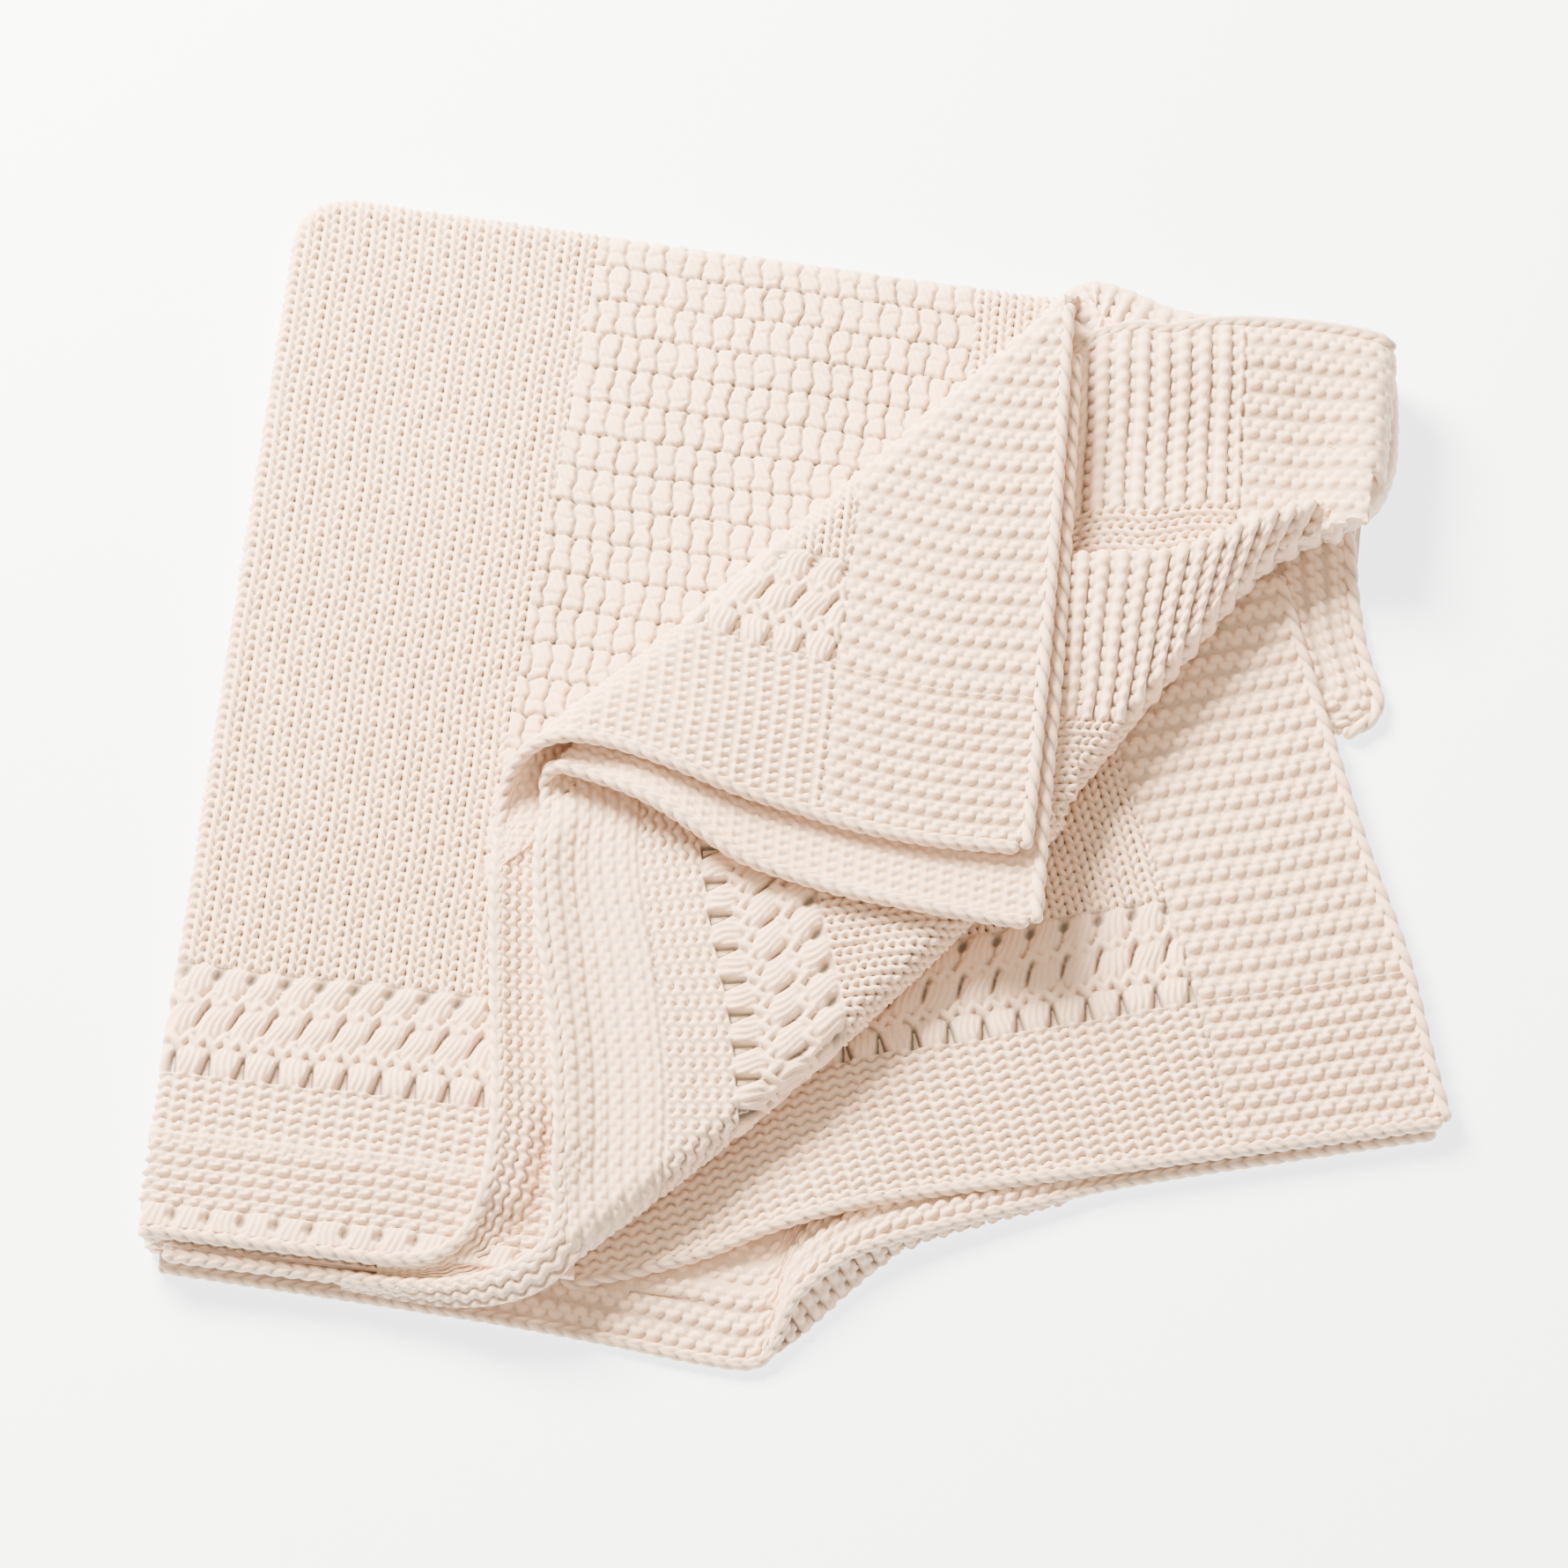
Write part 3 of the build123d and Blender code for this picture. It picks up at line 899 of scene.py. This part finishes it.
# ------------ which parts of each leaf exist
def top_keep(x, y):
    _, d = crease_frame(x, y)
    covered = (d < -30) & (y < 235) & (y > -40)
    low = (y < 0) & (x > -100)
    reach, _, radius = top_roll(x, y)
    return ~covered & ~low & (reach < np.pi * radius + 8) & (x < 100)


def outer_keep(x, v):
    y = OUTER_HEM(x) + v
    s, d = crease_frame(x, y)
    _, _, _, under = turn_back(x, y, OUTER_FLAP_MID, OUTER_TURN_MID, OUTER_RISE)
    return ((d < 36) & (s < 384)) | ((v < OUTER_LEG_WIDTH) & (under < 18))


FLAP_END = 5.0  # past the crease's roll, where the inner flap's sheet ends


def inner_base(x, v):
    """How far past the crease a point of the inner leaf is, and where it lies."""
    y = INNER_HEM(x) + v
    px, py, _, under = turn_back(x, y, INNER_FLAP_MID, INNER_TURN_MID, INNER_RISE, INNER_INSET)
    return under, px, py


def inner_flap_keep(x, v):
    under, _, _ = inner_base(x, v)
    s, _ = crease_frame(x, INNER_HEM(x) + v)
    return (under < FLAP_END) & (s < 350) & (x < INNER_TIP)


def inner_turned_keep(x, v):
    under, px, py = inner_base(x, v)
    past = past_diagonal(px, py)
    shown = (px < 84) | ((px < 112) & (py < 108))
    return (under >= FLAP_END) & (past < np.pi * DIAGONAL_ROLL + 14) & shown & (py < 262)


def corner_keep(u, v):
    place = place_corner(u, v)
    past = past_diagonal(place[..., 0], place[..., 1])
    return (past > -30) & (place[..., 1] < 190)


def second_keep(x, y):
    return x < -106 - 1.3 * np.maximum(-249 - y, 0)


def bottom_keep(s, v):
    place = place_bottom(s, v)
    side = 305.35 - 0.3768 * (place[..., 1] + 128)
    return place[..., 0] < side - 9


def pleat_keep(a, b):
    _, _, _, span = pleat_span(a)
    length = np.maximum(span - PLEAT_ROLL - DIAGONAL_ROLL, 2)
    return b < PLEAT_BACK + length + np.pi * DIAGONAL_ROLL + 17


def pocket_keep(x, b):
    y = POCKET_EDGE(x) - b
    _, line = PLEAT_CREST
    crest = np.interp(x, line[:, 0], line[:, 1])
    return (y > crest - 16) & ((x < 243) | (y > 200))


def underside_keep(x, y):
    hem = np.interp(x, [-303, -150, 2, 12, 164, 240], [-262, -266, -262, -210, -160, -140])
    far = np.interp(x, [82, 240], [281, 262])
    side = np.interp(y, [78, 186], [238, 240])
    return (y > hem) & (y < far) & (x < side)


# ------------ the pattern on each leaf
def top_relief(x, y):
    u, v = loosen(x - LEFT_X, y - HEM_Y)
    left = -165 + 0.04 * (y - 60)
    inside = (x > left) & (x < 36.0) & (v > EYELET_TOP + 60)
    field = np.where(inside, blocks(u, v, smooth(150, 40, y)), stockinette(u, v))
    return np.where(v < EYELET_TOP, end_border(u, v, True), field)


def outer_relief(x, v):
    return cloth_corner(OUTER_TIP - x, v)


def inner_relief(x, v):
    h = cloth_corner(INNER_TIP - x, v)
    edge = (v < GARTER_TOP) & (x < -120)
    u, w = loosen(x, v)
    h = np.where(edge, 0.58 * garter(u, w, 7.0) + 0.1, h)
    return h - 1.6 * bell(w - GARTER_TOP, 1.2) * (x < -100)


def wrong_side(x, v):
    """The back of the cloth, in lower relief."""
    u, v = loosen(x, v)
    return 0.65 * purl(u, v) - 0.6


def foot_relief(s, w):
    return 0.8 * purl(s, w) * smooth(0, 10, s)


def second_relief(x, y):
    u, v = loosen(x, y)
    return purl(u, v)


def plain_relief(x, y):
    u, v = loosen(x, y)
    return stockinette(u, v)


def pocket_relief(x, b):
    a = x - 95 - 0.05 * b
    a, b = loosen(a, b)
    left = np.where(b < 100, rib(b, a, RIB_PITCH), stockinette(b, a))
    seam = 1.4 * bell(a - POCKET_SEAM, 1.2)
    knit = np.where(a < POCKET_SEAM, left, garter(a, b, BORDER_RIDGES)) - seam
    return knit * (1 - 0.6 * smooth(234, 246, x)) * smooth(-3, 6, b)


def pleat_relief(a, b):
    a, b = loosen(a, b)
    return np.where(b < 92 + PLEAT_BACK, rib(b, a, RIB_PITCH), stockinette(b, a))


def lip_relief(s, w):
    s, w = loosen(s, w)
    knit = np.where(s < 118, rib(w, s, RIB_PITCH), garter(s, w, BORDER_RIDGES))
    return knit * (0.3 + 0.7 * smooth(24, 34, w))


def lobe_relief(s, w):
    s, w = loosen(s, w)
    return rib(w, s, 8.4)


def ridge_relief(s, w):
    s, w = loosen(s, w)
    return garter(s, w, 12.0)


# ------------ pieces
FINE = 1.0


def finish_piece(obj, body, mat, nodes):
    """Gives a piece its material, hides the CAD nodes that it stands for, and hangs it on the body
    that it rides; a piece on both bodies is baked in place.
    """
    obj.data.materials.append(mat)
    if nodes:
        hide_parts(*nodes)
    if body == "both":
        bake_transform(obj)
    else:
        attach(obj, body)


def sheet_piece(
    name, nodes, us, vs, place, relief, size, body="folded_stack", coarse=1.0, **options
):
    """A sheet of knit between the limits us and vs; size is its flat length and width."""
    block = options.get("block", BLOCK)
    step = STEP * FINE * coarse
    obj, grid_area = knit_sheet(
        name, grid_steps(*us, step, block), grid_steps(*vs, step, block), place, relief, **options
    )
    finish_piece(obj, body, CLOTH, nodes)
    area = min(grid_area * MM * MM, size[0] * size[1] * MM * MM)
    return obj, (size[0] * MM, size[1] * MM), area


sheets = [
    sheet_piece(
        "top_leaf_knit", ["top_leaf", "upper_left_fold", "top_fold"],
        (LEFT_X - 20, 112), (HEM_Y, FAR_Y + 40), place_top, top_relief, (440, 590), keep=top_keep,
    ),
    sheet_piece(
        "outer_flap_knit", ["outer_flap"],
        (OUTER_TIP, -222), (0, 324), place_outer, outer_relief, (315, 325),
        body="both", keep=outer_keep, block=1, back=wrong_side, flip=True,
    ),
    sheet_piece(
        "outer_leg_knit", ["outer_turned_leaf"],
        (0, length_of(OUTER_LEG)), (0, OUTER_LEG_WIDTH), place_leg, purl,
        (round(length_of(OUTER_LEG) + 0.5), OUTER_LEG_WIDTH),
    ),
    sheet_piece(
        "inner_flap_knit", ["inner_flap"],
        (INNER_TIP, -260), (0, 330), place_inner, inner_relief, (360, 330),
        body="both", keep=inner_flap_keep, block=1, back=wrong_side,
    ),
    sheet_piece(
        "inner_turned_knit", ["inner_turned_leaf", "diagonal_fold"],
        (INNER_TIP, -470), (0, 420), place_inner, inner_relief, (520, 420),
        keep=inner_turned_keep,
    ),
    sheet_piece(
        "inner_foot_knit", [],
        (0, length_of(INNER_FOOT)), (0, INNER_FOOT_WIDTH), place_foot, foot_relief,
        (round(length_of(INNER_FOOT) + 0.5), INNER_FOOT_WIDTH),
    ),
    sheet_piece(
        "corner_leaf_knit", ["corner_leaf"],
        (0, 424), (0, 330), place_corner, cloth_corner, (424, 330), keep=corner_keep, flip=True,
    ),
    sheet_piece(
        "bottom_leaf_knit", ["bottom_leaf"],
        (0, length_of(BOTTOM_HEM)), (0, BOTTOM_WIDTH), place_bottom, ridge_relief,
        (660, BOTTOM_WIDTH), keep=bottom_keep, flip=True,
    ),
    sheet_piece(
        "bottom_lobe_knit", [],
        (0, length_of(LOBE_TOP)), (0, LOBE_WIDTH), place_lobe, lobe_relief, (180, LOBE_WIDTH),
        flip=True,
    ),
    sheet_piece(
        "underside_knit", [],
        (-303, 241), (-286, 281), place_underside, plain_relief, (544, 567),
        keep=underside_keep, block=2, flip=True, coarse=2.0,
    ),
    sheet_piece(
        "left_fold_knit", ["lower_left_fold"],
        (0, FOLD_WIDTH), (-272, 276), place_left_fold, plain_relief, (548, FOLD_WIDTH), flip=True,
    ),
    sheet_piece(
        "second_leaf_knit", ["second_leaf"],
        (-300, -108), (-272, -200), place_second, second_relief, (192, 72),
        keep=second_keep,
    ),
    sheet_piece(
        "pocket_knit", [],
        (78, 259), (0, 200), place_pocket, pocket_relief, (190, 190), keep=pocket_keep, flip=True,
    ),
    sheet_piece(
        "pleat_knit", [],
        (0, length_of(PLEAT_CREST)), (0, 215), place_pleat, pleat_relief, (230, 215),
        keep=pleat_keep, flip=True,
    ),
    sheet_piece(
        "pocket_lip_knit", [],
        (0, length_of(LIP)), (0, LIP_WIDTH), place_lip, lip_relief, (310, LIP_WIDTH), flip=True,
    ),
    sheet_piece(
        "tail_knit", [],
        (0, length_of(TAIL_EDGE)), (0, TAIL_WIDTH), place_tail, ridge_relief, (120, TAIL_WIDTH),
        flip=True,
    ),
]


# ------------ the edging
OUTER_SPLIT = -199.0  # where each hem's cord changes from the flap to the leg
INNER_SPLIT = -164.0
HEM_LINE = [EDGE_OUT, EDGE_OUT]


def edge_points(place, firsts, seconds, count=60):
    """Points along an edge of a leaf, given by a line in its own measures."""
    share = np.linspace(0, 1, count)
    first = np.interp(share, np.linspace(0, 1, len(firsts)), firsts)
    second = np.interp(share, np.linspace(0, 1, len(seconds)), seconds)
    return place(first, second)


def path_points(path, count):
    """Evenly spaced points along the whole of a dense path."""
    return along(path, np.linspace(0, length_of(path), count))


def edging(name, nodes, points, body="folded_stack", **shape):
    finish_piece(cord(name, points, **shape), body, EDGING, nodes)


edging(
    "top_leaf_hem_cord", ["top_leaf_hem"],
    edge_points(place_top, [LEFT_X - 16, LEFT_X - 4, -185], [HEM_Y + EDGE_OUT] * 3),
)
edging(
    "outer_flap_cord", ["outer_flap_hem"],
    edge_points(place_outer, [92, OUTER_SPLIT], HEM_LINE, 90), body="both",
)
edging("outer_leg_cord", ["outer_turned_leaf_hem"], path_points(OUTER_LEG, 60))
edging(
    "outer_side_cord", ["outer_flap_selvedge"],
    edge_points(place_outer, [OUTER_TIP - EDGE_OUT] * 2, [EDGE_OUT, 302]),
    body="turned_corner", chain=False,
)
edging(
    "inner_flap_cord", ["inner_flap_hem"],
    edge_points(place_inner, [106, INNER_SPLIT - 3], HEM_LINE, 90), body="both",
)
inner_leg = edge_points(place_inner, [INNER_SPLIT, -338], HEM_LINE)
edging(
    "inner_leg_cord", ["inner_turned_leaf_hem"],
    np.vstack([inner_leg, path_points(INNER_FOOT, 40)]),
)
edging(
    "inner_side_cord", ["inner_flap_selvedge"],
    edge_points(place_inner, [INNER_TIP - EDGE_OUT] * 2, [EDGE_OUT, 312]),
    body="turned_corner", chain=False,
)
edging(
    "pocket_cord", ["inner_turned_leaf_selvedge", "outer_turned_leaf_selvedge"],
    edge_points(place_pocket, [80, 249], HEM_LINE),
)
corner_end = place_corner(np.array([426.0, 428.0, 427.0]), np.array([2.0, 12.0, 24.0]))
edging(
    "corner_hem_cord", ["corner_leaf_hem"],
    np.vstack([edge_points(place_corner, [0, 421], HEM_LINE), corner_end]),
)
edging(
    "corner_side_cord", ["corner_leaf_selvedge"],
    edge_points(place_corner, HEM_LINE, [EDGE_OUT, 300]), chain=False,
)
edging(
    "bottom_hem_cord", ["bottom_leaf_hem"],
    edge_points(place_bottom, [0, length_of(BOTTOM_HEM)], HEM_LINE, 160), radius=3.0,
)
edging(
    "second_hem_cord", ["second_leaf_hem"],
    edge_points(place_second, [-300, -160], [-277, -277]),
)
edging(
    "tail_cord", [], edge_points(place_tail, [0, length_of(TAIL_EDGE)], HEM_LINE), chain=False
)


# ------------ camera, floor and light
FLOOR_HALF = 4.0  # metres, as are the places below
LAMP_AT = (-1.4, 1.3, 1.5)
LAMP_SIZE = 1.0
LAMP_POWER = 560.0
LAMP_COLOUR = (1.0, 0.82, 0.62)
SKY_COLOUR = (1.0, 0.838, 0.648, 1)
SKY_STRENGTH = 1.14
CAMERA_AT = (0.1079, -1.0365, 2.2658)
CAMERA_AIM = (-0.030, 0.011, 0.0)
CAMERA_LENS = 115.97  # millimetres
CAMERA_SENSOR = 36.0


def make_floor():
    """A wide floor, which glows so that it comes out nearly white."""
    half = FLOOR_HALF
    mesh = bpy.data.meshes.new("floor")
    corners = [(-half, -half, 0), (half, -half, 0), (half, half, 0), (-half, half, 0)]
    mesh.from_pydata(corners, [], [(0, 1, 2, 3)])
    floor = bpy.data.objects.new("floor", mesh)
    bpy.context.scene.collection.objects.link(floor)
    paint = bpy.data.materials.new("floor")
    paint.use_nodes = True
    shader = paint.node_tree.nodes["Principled BSDF"]
    shader.inputs["Base Color"].default_value = (0.71, 0.85, 1.0, 1)
    shader.inputs["Roughness"].default_value = 0.9
    shader.inputs["Emission Color"].default_value = (0.93, 0.97, 1.0, 1)
    shader.inputs["Emission Strength"].default_value = 2.6
    mesh.materials.append(paint)


def look_along(obj, start, aim):
    """Puts a lamp or camera at start, facing aim, and links it to the scene."""
    obj.location = start
    obj.rotation_euler = (Vector(aim) - Vector(start)).to_track_quat("-Z", "Y").to_euler()
    bpy.context.scene.collection.objects.link(obj)


def make_lamp():
    data = bpy.data.lights.new("key", "AREA")
    data.energy = LAMP_POWER
    data.color = LAMP_COLOUR
    data.size = LAMP_SIZE
    look_along(bpy.data.objects.new("key", data), LAMP_AT, (0, 0, 0))


def make_sky():
    world = bpy.data.worlds.new("studio")
    world.use_nodes = True
    background = world.node_tree.nodes["Background"]
    background.inputs["Color"].default_value = SKY_COLOUR
    background.inputs["Strength"].default_value = SKY_STRENGTH
    bpy.context.scene.world = world


def make_camera():
    data = bpy.data.cameras.new("camera")
    data.lens = CAMERA_LENS
    data.sensor_width = CAMERA_SENSOR
    data.dof.use_dof = False
    camera = bpy.data.objects.new("camera", data)
    look_along(camera, CAMERA_AT, CAMERA_AIM)
    bpy.context.scene.camera = camera


make_floor()
make_lamp()
make_sky()
make_camera()
